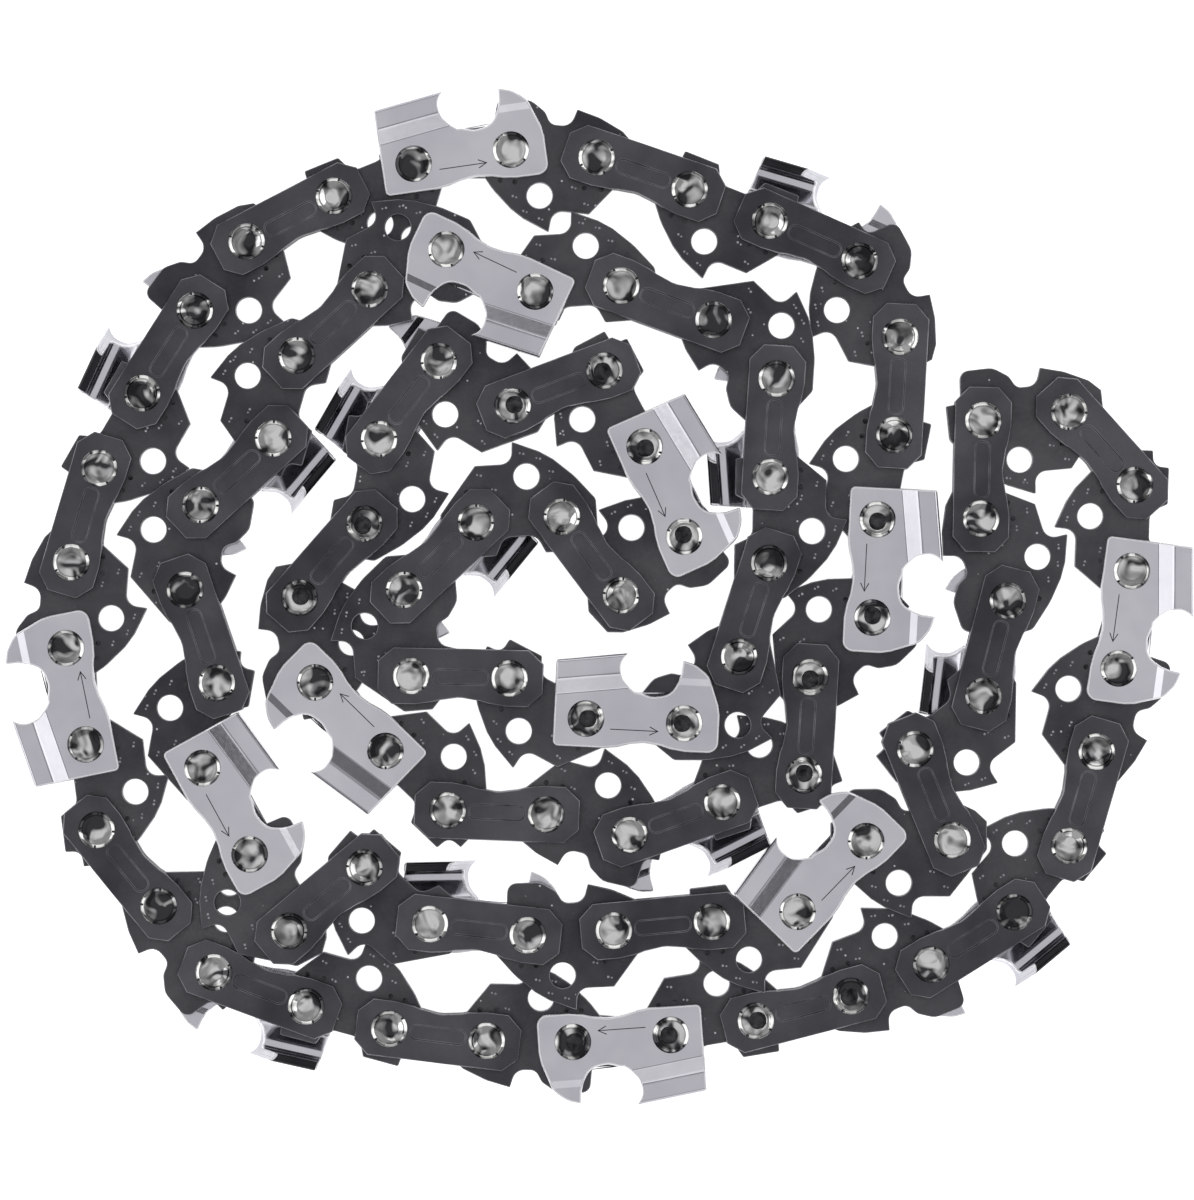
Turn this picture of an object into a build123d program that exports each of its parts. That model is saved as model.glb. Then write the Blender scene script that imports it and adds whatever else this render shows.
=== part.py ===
from build123d import *
import math
import os

# Saw chain loop, 3/8 inch low profile, lying coiled on its side on a flat surface.
# Millimetres. X and Y lie in the surface, Z is up, the origin is under the middle of the coil.
# Each link is drawn in its own frame: x runs from its rear rivet to its front rivet, y points to
# the cutting side, and z = 0 is the middle plane of the drive links.

# Chain standard
pitch = 9.32
outer_span = 9.93
drive_span = 2 * pitch - outer_span
gauge = 1.3
strap_thickness = 1.1
side_clearance = 0.17
rivet_clearance = 0.05

# Rivets: six flats stand for the round on all ninety of them and in their holes
rivet_radius = 1.7
rivet_head_height = 0.45
round_sides = 6

# Tie strap
strap_width = 5.74
strap_overhang = 3.4
strap_end_width = 3.0
strap_corner = 1.5
strap_waist = 0.77

# Drive link, the same below the rivet line on both kinds
drive_overhang = 3.6
drive_flank_top = 1.9
drive_flank_rear = 1.7
drive_flank_front = 1.0
tang_tip = (4.5, -7.9)
tang_belly = (1.0, -6.25)
tang_heel = (-1.4, -3.9)
hook_middle = (4.95, -6.6)
hook_end = (5.9, -5.75)
tang_toe = (8.4, -5.7)
tang_hole_place = (3.3, -4.3)
tang_hole_radius = 1.3

# Plain drive link, above the rivet line
shoulder_height = 3.55
shoulder_reach = 1.9
notch_width = 3.5
notch_depth = 1.9

# Bumper drive link, above the rivet line
bumper_height = 5.3
bumper_half_width = 1.7
bumper_foot = (-2.0, 3.2)
bumper_fall = (2.9, 4.1)
bumper_notch_width = 1.6
bumper_notch_height = 3.1
bumper_peak = (6.35, 4.75)
bumper_slope_end = (11.0, 3.0)

# Cutter, side view
cutter_rear = 3.25
cutter_front = 3.55
cutter_bottom = 3.05
cutter_corner = 0.75
cutter_waist = (6.5, -2.45)
gauge_tip = (9.5, 6.35)
gauge_shoulder = (10.85, 5.95)
gauge_slope = (12.25, 4.9)
gauge_foot = 1.5
gullet_back = (9.2, 4.0)
gullet_bottom = (6.9, 2.6)
gullet_front = (5.2, 2.9)
beak = (3.15, 5.35)
tooth_tip = 3.95

# Cutter, bent sheet: the side plate steps outwards, then folds over into the top plate
bend_low = 2.25
bend_high = 3.85
tooth_height = 5.85
tooth_rise = 8.0
tooth_offset = 1.2
top_plate_width = 4.6
top_plate_thickness = 0.95
top_plate_corner = 0.35
top_plate_angle = 30.0

# Coil: the second turn lies with its tangs on the tangs of the turns beside it
turn_lift = gauge + 0.12
lift_starts, lift_full = -6, 6
fall_starts, fall_ends = 33, 46
fit_tolerance = 0.001

# Places of the rivets in the coil, in pixels of a top view with y down, link by link from the
# joint backwards along the chain: front rivet x and y, rear rivet x and y.
rivet_marks = [
    (976, 422, 979, 520), (1005, 602, 982, 694), (912, 748, 942, 840), (873, 840, 804, 909),
    (710, 920, 612, 929), (527, 934, 429, 924), (364, 863, 289, 928), (252, 854, 205, 768),
    (219, 683, 187, 590), (203, 505, 275, 439), (298, 358, 371, 291), (446, 251, 535, 294),
    (621, 287, 714, 322), (775, 387, 769, 484), (764, 564, 731, 656), (684, 709, 586, 713),
    (516, 683, 417, 676), (405, 590, 476, 523), (562, 517, 621, 595), (683, 537, 644, 447),
    (605, 373, 513, 406), (440, 362, 380, 439), (365, 525, 301, 599), (318, 683, 387, 751),
    (450, 807, 549, 815), (625, 831, 717, 803), (804, 775, 808, 677), (872, 617, 876, 520),
    (893, 436, 899, 338), (859, 262, 770, 223), (689, 191, 597, 159), (511, 151, 414, 165),
    (334, 198, 247, 243), (196, 312, 144, 394), (101, 468, 73, 562), (67, 646, 88, 744),
    (95, 828, 160, 904), (210, 973, 302, 1004), (387, 1029, 484, 1041), (569, 1042, 668, 1036),
    (753, 1022, 850, 998), (932, 968, 1020, 917), (1080, 848, 1093, 750), (1121, 661, 1131, 564),
    (1136, 479, 1068, 408),
]

# Heights over the middle plane of the chain
strap_inside = gauge / 2 + side_clearance
strap_outside = strap_inside + strap_thickness
tooth_outside = strap_outside + tooth_offset
rivet_end = strap_outside + rivet_head_height


def lift(index):
    """Height of a rivet's middle over the lowest turns."""
    ramp_up = (index - lift_starts) / (lift_full - lift_starts)
    ramp_down = (fall_ends - index) / (fall_ends - fall_starts)
    if index > (fall_ends + len(rivet_marks) * 2 + lift_starts) / 2:
        ramp_up = (index - 2 * len(rivet_marks) - lift_starts) / (lift_full - lift_starts)
        ramp_down = 1
    share = min(max(min(ramp_up, ramp_down), 0), 1)
    return turn_lift * (1 - math.cos(math.pi * share)) / 2


def rivet_places():
    """Middle of every rivet, pulled from its mark to the exact rivet spacing all round the loop."""
    marks = [complex(x, -y) for row in rivet_marks for x, y in (row[:2], row[2:])]
    count = len(marks)
    heights = [lift(index) for index in range(count)]
    spans = [(outer_span, drive_span)[index % 2] for index in range(count)]
    rises = [heights[(index + 1) % count] - heights[index] for index in range(count)]
    runs = [math.sqrt(span**2 - rise**2) for span, rise in zip(spans, rises)]
    marked_length = sum(abs(marks[(index + 1) % count] - marks[index]) for index in range(count))
    scale = sum(runs) / marked_length
    places = [mark * scale for mark in marks]
    worst = fit_tolerance
    while worst >= fit_tolerance:
        worst = 0
        for index in range(count):
            after = (index + 1) % count
            step = places[after] - places[index]
            error = abs(step) - runs[index]
            places[index] += step / abs(step) * error / 2
            places[after] -= step / abs(step) * error / 2
            worst = max(worst, abs(error))
    return [Vector(place.real, place.imag, height) for place, height in zip(places, heights)]


def link_plane(rear, front):
    """Frame of one link: x to its front rivet, y level and to the cutting side."""
    forward = (front - rear).normalized()
    sideways = Vector(0, 0, 1).cross(forward)
    return Plane(origin=rear, x_dir=forward, z_dir=forward.cross(sideways))


def rivet_holes(span, turning):
    """Cut the two rivet holes of a link in the sketch that is open.

    A hole that turns on its rivet has its flats, and not its corners, outside the rivet's corners.
    """
    with Locations((0, 0), (span, 0)):
        RegularPolygon(
            rivet_radius + rivet_clearance, round_sides, major_radius=not turning, mode=Mode.SUBTRACT
        )


def drive_link(top_edge):
    """Drive link with the given top edge, from its rear flank to its front flank."""
    lower_edge = [
        (drive_span + drive_overhang, -drive_flank_front),
        tang_toe,
        hook_end,
        hook_middle,
        tang_tip,
        tang_belly,
        tang_heel,
        (-drive_overhang, -drive_flank_rear),
    ]
    with BuildPart() as link:
        with BuildSketch(Plane.XY.offset(-gauge / 2)):
            with BuildLine():
                Polyline(*top_edge, *lower_edge, close=True)
            make_face()
            rivet_holes(drive_span, turning=True)
            with Locations(tang_hole_place):
                RegularPolygon(tang_hole_radius, round_sides, mode=Mode.SUBTRACT)
        extrude(amount=gauge)
    return link.part


def plain_drive_link():
    """Drive link behind a cutter: two low shoulders with a notch between them."""
    middle = drive_span / 2
    notch_height = shoulder_height - notch_depth
    return drive_link([
        (-drive_overhang, drive_flank_top),
        (-shoulder_reach, shoulder_height),
        (shoulder_reach, shoulder_height),
        (middle - notch_width / 2, notch_height),
        (middle + notch_width / 2, notch_height),
        (drive_span - shoulder_reach, shoulder_height),
        (drive_span + shoulder_reach, shoulder_height),
        (drive_span + drive_overhang, drive_flank_top),
    ])


def bumper_drive_link():
    """Drive link ahead of a cutter: a hump beside the depth gauge, then a peak that slopes down."""
    middle = (bumper_fall[0] + bumper_peak[0]) / 2
    return drive_link([
        (-drive_overhang, drive_flank_top),
        bumper_foot,
        (-bumper_half_width, bumper_height),
        (bumper_half_width, bumper_height),
        bumper_fall,
        (middle - bumper_notch_width / 2, bumper_notch_height),
        (middle + bumper_notch_width / 2, bumper_notch_height),
        bumper_peak,
        bumper_slope_end,
        (drive_span + drive_overhang, drive_flank_top),
    ])


def tie_strap(height):
    """Flat strap with its inner face at the given height: chamfered ends, waist on the tang side."""
    half_width = strap_width / 2
    half_end = strap_end_width / 2
    rear = -strap_overhang
    front = outer_span + strap_overhang
    with BuildPart() as strap:
        with BuildSketch(Plane.XY.offset(height)):
            with BuildLine():
                Polyline(
                    (rear, half_end),
                    (rear + strap_corner, half_width),
                    (front - strap_corner, half_width),
                    (front, half_end),
                    (front, -half_end),
                    (front - strap_corner, -half_width),
                    (outer_span / 2, strap_waist - half_width),
                    (rear + strap_corner, -half_width),
                    (rear, -half_end),
                    close=True,
                )
            make_face()
            rivet_holes(outer_span, turning=False)
        extrude(amount=strap_thickness)
    return strap.part


def left_cutter():
    """Left-hand cutter: chassis with the depth gauge, and the bent tooth behind the gullet."""
    rear = -cutter_rear
    front = outer_span + cutter_front
    slope = math.tan(math.radians(tooth_rise))
    top_edge = tooth_height + (tooth_tip - rear) * slope
    inner_edge = tooth_outside - top_plate_width
    inner_fold = tooth_outside - strap_thickness
    tooth_face = Plane(origin=(rear, 0, 0), x_dir=(0, 1, 0), z_dir=(1, 0, 0))
    clear = top_plate_width * math.tan(math.radians(top_plate_angle))
    with BuildPart() as cutter:
        with BuildSketch(tooth_face):
            with BuildLine():
                Polyline(
                    (0, strap_inside),
                    (bend_low, strap_inside),
                    (bend_high, inner_fold),
                    (tooth_height - top_plate_thickness, inner_fold),
                    (tooth_height - top_plate_thickness, inner_edge),
                    (tooth_height, inner_edge),
                    (tooth_height, tooth_outside - top_plate_corner),
                    (tooth_height - top_plate_corner, tooth_outside),
                    (bend_high, tooth_outside),
                    (bend_low, strap_outside),
                    (0, strap_outside),
                    close=True,
                )
            make_face()
        extrude(amount=gullet_front[0] - rear, dir=(1, slope, 0))
        with BuildSketch(Plane.XY.offset(inner_edge)):
            with BuildLine():
                Polyline(
                    gullet_front,
                    beak,
                    (tooth_tip, top_edge),
                    (tooth_tip, 2 * top_edge),
                    (gauge_tip[0], 2 * top_edge),
                    (gauge_tip[0], gullet_front[1]),
                    close=True,
                )
            make_face()
        extrude(amount=top_plate_width, mode=Mode.SUBTRACT)
        with BuildSketch(Plane.XZ.offset(-beak[1])):
            with BuildLine():
                Polyline(
                    (tooth_tip, tooth_outside),
                    (tooth_tip - clear, inner_edge),
                    (tooth_tip, inner_edge),
                    close=True,
                )
            make_face()
        extrude(amount=-top_edge, mode=Mode.SUBTRACT)
        with BuildSketch(Plane.XY.offset(strap_inside)):
            with BuildLine():
                Polyline(
                    (rear, bend_low),
                    gullet_front,
                    gullet_bottom,
                    gullet_back,
                    gauge_tip,
                    gauge_shoulder,
                    gauge_slope,
                    (front, gauge_foot),
                    (front, cutter_corner - cutter_bottom),
                    (front - cutter_corner, -cutter_bottom),
                    cutter_waist,
                    (rear + cutter_corner, -cutter_bottom),
                    (rear, cutter_corner - cutter_bottom),
                    close=True,
                )
            make_face()
        extrude(amount=strap_thickness)
        with BuildSketch(Plane.XY.offset(strap_inside)):
            with Locations((0, 0), (outer_span, 0)):
                RegularPolygon(rivet_radius + rivet_clearance, round_sides)
        extrude(amount=strap_thickness, mode=Mode.SUBTRACT)
    return cutter.part


def right_cutter(left):
    """Right-hand cutter: the left-hand one mirrored to the other side of the chain."""
    with BuildPart() as cutter:
        mirror(left, about=Plane.XY)
    return cutter.part


def rivet():
    """Rivet through a whole link, with its heads standing a little proud of both straps."""
    with BuildPart() as pin:
        with BuildSketch(Plane.XY.offset(-rivet_end)):
            RegularPolygon(rivet_radius, round_sides)
        extrude(amount=2 * rivet_end)
    return pin.part


def node(name, pieces):
    """One node of the loop: its pieces, each on its plane, moved to the origin of the loop."""
    group = Compound(children=[piece.moved(seat * plane.location) for piece, plane in pieces])
    group.label = name
    export_step(group, f"parts/{name}.step")


rivets = rivet_places()
fronts = rivets[0::2]
rears = rivets[1::2]
outer_planes = [link_plane(rear, front) for rear, front in zip(rears, fronts)]
drive_planes = [link_plane(rear, front) for rear, front in zip(fronts[1:] + fronts[:1], rears)]

# Counted from the joint: straps, right cutter, straps, left cutter, and so on round the loop
strap_planes = outer_planes[0::2]
right_planes = outer_planes[1::4]
left_planes = outer_planes[3::4]
bumper_planes = drive_planes[0::2]
plain_planes = drive_planes[1::2]
front_planes = [plane.shift_origin(front) for plane, front in zip(outer_planes, fronts)]

upper_strap = tie_strap(strap_inside)
lower_strap = tie_strap(-strap_outside)
left = left_cutter()
right = right_cutter(left)
plain = plain_drive_link()
bumper = bumper_drive_link()
pin = rivet()

nodes = {}
for number, plane in enumerate(left_planes, 1):
    nodes[f"left_cutter_{number:02}"] = [(left, plane)]
for number, plane in enumerate(right_planes, 1):
    nodes[f"right_cutter_{number:02}"] = [(right, plane)]
for number, plane in enumerate(strap_planes, 1):
    nodes[f"tie_strap_pair_{number:02}"] = [(upper_strap, plane), (lower_strap, plane)]
nodes["cutter_straps"] = [(lower_strap, plane) for plane in left_planes]
nodes["cutter_straps"] += [(upper_strap, plane) for plane in right_planes]
nodes["plain_drive_links"] = [(plain, plane) for plane in plain_planes]
nodes["bumper_drive_links"] = [(bumper, plane) for plane in bumper_planes]
nodes["rivets"] = [(pin, plane) for plane in outer_planes + front_planes]

# The coil stands on its lowest cutters, with the origin under its middle
placed = [piece.moved(plane.location) for pieces in nodes.values() for piece, plane in pieces]
reach = Compound(children=placed).bounding_box()
seat = Location((-reach.center().X, -reach.center().Y, -reach.min.Z))

os.makedirs("parts", exist_ok=True)
for name, pieces in nodes.items():
    node(name, pieces)
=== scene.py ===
import logging
import math
from collections.abc import Iterator
from contextlib import contextmanager
from dataclasses import dataclass, field
from enum import Enum

import bpy
from mathutils import Matrix, Vector


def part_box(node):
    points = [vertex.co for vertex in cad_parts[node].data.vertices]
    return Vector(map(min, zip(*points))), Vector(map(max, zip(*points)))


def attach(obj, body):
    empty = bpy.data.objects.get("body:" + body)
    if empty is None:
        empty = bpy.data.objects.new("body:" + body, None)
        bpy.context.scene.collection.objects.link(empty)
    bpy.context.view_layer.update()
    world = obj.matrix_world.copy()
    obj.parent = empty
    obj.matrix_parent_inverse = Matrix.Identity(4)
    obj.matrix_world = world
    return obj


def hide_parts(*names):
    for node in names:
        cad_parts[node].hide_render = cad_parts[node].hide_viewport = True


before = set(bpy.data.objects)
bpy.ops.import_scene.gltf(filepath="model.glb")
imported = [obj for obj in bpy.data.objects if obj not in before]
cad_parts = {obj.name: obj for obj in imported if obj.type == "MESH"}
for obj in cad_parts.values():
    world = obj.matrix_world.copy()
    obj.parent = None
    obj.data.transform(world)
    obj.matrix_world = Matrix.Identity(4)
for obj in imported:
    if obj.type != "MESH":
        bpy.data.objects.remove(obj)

log = logging.getLogger("chain_loop")

Piece = bpy.types.Object
Tree = bpy.types.NodeTree
Socket = bpy.types.NodeSocket
Pair = tuple[float, float]

BODY = "root"
METRES_PER_MM = 0.001
PHOTO_WIDTH_PX = 1194
PHOTO_PX_PER_MM = 9.876

# Modelling, in mm and degrees where nothing else is said
ARC_STEP = 15.0  # turn between two points of a rounded corner
ARC_SHARE = 0.49  # largest share of an edge that the arc at one of its ends takes
STRAIGHT = 0.01  # a corner that turns less than this, in radians, stays a point
ROUND_SIDES = 32  # sides of rivets and holes
DRILL_LENGTH = 20.0
TOOL_OVER = 1.0  # a cutting tool stands this far out of the face it cuts
MERGE_DISTANCE = 0.002
FLAT_ANGLE = 0.8  # faces that meet at less than this become one
EDGE_ANGLE = 38.0  # edges that turn more than this are rounded
EDGE_FACES = 2  # faces across a rounded edge
FLAT_WEIGHT = 100  # how far the normals of large faces win over those of rounds
LEVEL = 0.9  # the normal of a level face rises more than this
WELD_METRES = 1e-6

# Outer links counted from the joint: tie straps on every other one, cutters of both hands between them
TIES, RIGHTS, LEFTS = slice(0, None, 2), slice(1, None, 4), slice(3, None, 4)

# Sockets of the Mix node when it mixes colours
MIX_SHARE, MIX_FIRST, MIX_SECOND, MIX_RESULT = 0, 6, 7, 2


class Turning(Enum):
    """Which way a boolean tool changes the piece it is used on."""

    CUT = "DIFFERENCE"
    JOIN = "UNION"


class TopEdge(Enum):
    """The two kinds of drive link, told apart by their top edge."""

    PLAIN = "plain_drive_links"
    BUMPER = "bumper_drive_links"


class Side(Enum):
    """Side of the chain that a plate lies on: the sign of its height over the middle plane."""

    UPPER = 1
    LOWER = -1


@dataclass(frozen=True)
class Corner:
    """Corner of an outline in mm, rounded with the given radius."""

    u: float
    v: float
    radius: float = 0.0


def corners(*rows: tuple[float, ...]) -> list[Corner]:
    """Corners of an outline, from rows of two places and, where it is rounded, a radius."""
    return [Corner(*row) for row in rows]


def linear(colour: str) -> tuple[float, float, float, float]:
    """Turn an sRGB hex colour into linear values.

    Args:
        colour: six hex digits after a hash.

    Returns:
        Linear red, green and blue with full alpha.
    """
    parts = [int(colour[place:place + 2], 16) / 255 for place in (1, 3, 5)]
    red, green, blue = [
        part / 12.92 if part <= 0.04045 else ((part + 0.055) / 1.055) ** 2.4 for part in parts]
    return red, green, blue, 1.0


def add_node(
    tree: Tree, kind: str, settings: dict[str | int, object], links: dict[str | int, Socket]
) -> bpy.types.Node:
    """Add a node with its settings and its links.

    Args:
        tree: node tree of a material or of the world.
        kind: Blender's name of the node type.
        settings: attribute or input values by name, or input values by number.
        links: output sockets by the name or number of the input they go to.

    Returns:
        The new node.
    """
    made = tree.nodes.new(kind)
    for name, value in settings.items():
        if isinstance(name, int) or name in made.inputs:
            made.inputs[name].default_value = value
        else:
            setattr(made, name, value)
    for name, source in links.items():
        tree.links.new(source, made.inputs[name])
    return made


def remap(tree: Tree, value: Socket, source: Pair, target: Pair = (0.0, 1.0)) -> Socket:
    """Map a value from one range to another, each given by its start and its end."""
    settings = dict(zip(("From Min", "From Max", "To Min", "To Max"), source + target))
    return add_node(tree, "ShaderNodeMapRange", settings, {"Value": value}).outputs["Result"]


def deselect() -> None:
    """Leave edit mode and take the selection off everything."""
    if bpy.context.object and bpy.context.object.mode != "OBJECT":
        bpy.ops.object.mode_set(mode="OBJECT")
    bpy.ops.object.select_all(action="DESELECT")


def take(piece: Piece) -> None:
    """Select one piece alone and make it the active one.

    Args:
        piece: object to select.
    """
    deselect()
    piece.select_set(True)
    bpy.context.view_layer.objects.active = piece


@contextmanager
def editing(piece: Piece) -> Iterator[None]:
    """Edit mode on one piece, for the length of a with block.

    Args:
        piece: object to edit.
    """
    take(piece)
    bpy.ops.object.mode_set(mode="EDIT")
    yield
    bpy.ops.object.mode_set(mode="OBJECT")


def face_outwards() -> None:
    """Turn all faces of the mesh in edit mode outwards."""
    bpy.ops.mesh.select_all(action="SELECT")
    bpy.ops.mesh.normals_make_consistent(inside=False)


def duplicate(source: Piece) -> Piece:
    """Copy an object together with its mesh.

    Args:
        source: object to copy.

    Returns:
        The copy.
    """
    copy = source.copy()
    copy.data = source.data.copy()
    bpy.context.collection.objects.link(copy)
    return copy


def rounded(outline: list[Corner], step: float = ARC_STEP) -> list[Vector]:
    """Points of an outline, with each corner rounded by an arc.

    Args:
        outline: corners in order round the outline.
        step: turn between two points of an arc, in degrees.

    Returns:
        Points of the closed outline.
    """
    points: list[Vector] = []
    for index, corner in enumerate(outline):
        here = Vector((corner.u, corner.v))
        before, after = outline[index - 1], outline[(index + 1) % len(outline)]
        back = Vector((before.u, before.v)) - here
        ahead = Vector((after.u, after.v)) - here
        turn = math.pi - back.angle(ahead)
        if corner.radius <= 0 or turn < STRAIGHT:
            points.append(here)
            continue
        room = min(ARC_SHARE * back.length, ARC_SHARE * ahead.length)
        run = min(corner.radius * math.tan(turn / 2), room)
        radius = run / math.tan(turn / 2)
        middle_way = (back.normalized() + ahead.normalized()).normalized()
        middle = here + middle_way * math.hypot(radius, run)
        spoke = here + back.normalized() * run - middle
        sense = 1.0 if back.x * ahead.y - back.y * ahead.x < 0 else -1.0
        parts = max(1, round(math.degrees(turn) / step))
        for part in range(parts + 1):
            bend = Matrix.Rotation(sense * turn * part / parts, 2)
            points.append(middle + bend @ spoke)
    return points


def rectangle(along: Pair, across: Pair, radius: float = 0.0) -> list[Corner]:
    """Corners of a rectangle between two ends along the link and two edges across it, in mm."""
    (rear, front), (low, high) = along, across
    return corners((rear, low, radius), (front, low, radius), (front, high, radius), (rear, high, radius))


def prism(name: str, points: list[Vector], sweep: Vector) -> Piece:
    """Closed prism: a filled circle laid on an outline, then extruded.

    Args:
        name: name of the new object.
        points: outline of the base in mm.
        sweep: path from the base to the far end in mm.

    Returns:
        The new object.
    """
    deselect()
    bpy.ops.mesh.primitive_circle_add(vertices=len(points), radius=1.0, fill_type="NGON")
    piece = bpy.context.object
    piece.name = name
    for vertex, point in zip(piece.data.vertices, points):
        vertex.co = point
    with editing(piece):
        bpy.ops.mesh.select_all(action="SELECT")
        bpy.ops.mesh.extrude_region_move(TRANSFORM_OT_translate={"value": sweep})
        face_outwards()
    return piece


def plate(name: str, outline: list[Corner], low: float, high: float, step: float = ARC_STEP) -> Piece:
    """Flat plate with rounded corners between two heights over the middle plane, all in mm."""
    base = [Vector((point.x, point.y, low)) for point in rounded(outline, step)]
    return prism(name, base, Vector((0, 0, high - low)))


def cylinder(
    radius: float, depth: float, place: tuple[float, ...] = (0, 0, 0), sides: int = ROUND_SIDES
) -> Piece:
    """Upright cylinder.

    Args:
        radius: its radius in mm.
        depth: its height in mm.
        place: its middle in mm.
        sides: sides of the round.

    Returns:
        The new object.
    """
    deselect()
    bpy.ops.mesh.primitive_cylinder_add(vertices=sides, radius=radius, depth=depth, location=place)
    bpy.ops.object.transform_apply(location=True)
    return bpy.context.object


def modify(piece: Piece, kind: str, **settings: object) -> None:
    """Add a modifier to a piece and apply it.

    Args:
        piece: object that is changed.
        kind: Blender's name of the modifier type.
        settings: settings of the modifier by name.
    """
    modifier = piece.modifiers.new(kind, kind)
    for name, value in settings.items():
        setattr(modifier, name, value)
    take(piece)
    bpy.ops.object.modifier_apply(modifier=modifier.name)


def combine(piece: Piece, tool: Piece, turning: Turning) -> None:
    """Cut a tool out of a piece, or join it to the piece, and remove the tool."""
    modify(piece, "BOOLEAN", operation=turning.value, object=tool, solver="EXACT", material_mode="TRANSFER")
    bpy.data.objects.remove(tool)


def drill(piece: Piece, place: Pair, radius: float) -> None:
    """Cut a round hole through a flat piece, with walls in the piece's first finish.

    Args:
        piece: object that gets the hole.
        place: middle of the hole in mm.
        radius: radius of the hole in mm.
    """
    tool = cylinder(radius, DRILL_LENGTH, (*place, 0))
    for finish in piece.data.materials[:1]:
        tool.data.materials.append(finish)
    combine(piece, tool, Turning.CUT)


def merge_flats(piece: Piece) -> None:
    """Merge doubled points and the faces of one plane that booleans leave apart.

    Args:
        piece: object to clean.
    """
    with editing(piece):
        bpy.ops.mesh.select_all(action="SELECT")
        bpy.ops.mesh.remove_doubles(threshold=MERGE_DISTANCE)
        bpy.ops.mesh.dissolve_limited(angle_limit=math.radians(FLAT_ANGLE), delimit={"MATERIAL"})
        face_outwards()


def break_edges(piece: Piece, width: float, finish: int) -> None:
    """Round the sharp edges of a piece by a width in mm, with a material slot of their own."""
    modify(
        piece, "BEVEL", width=width, segments=EDGE_FACES, limit_method="ANGLE",
        angle_limit=math.radians(EDGE_ANGLE), use_clamp_overlap=False, material=finish)


def shade(piece: Piece, angle: float) -> None:
    """Shade rounds smooth and keep the flats flat.

    Args:
        piece: object to shade.
        angle: edges that turn more than this, in degrees, stay sharp.
    """
    take(piece)
    bpy.ops.object.shade_smooth_by_angle(angle=math.radians(angle))
    modify(piece, "WEIGHTED_NORMAL", keep_sharp=True, weight=FLAT_WEIGHT)


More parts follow.
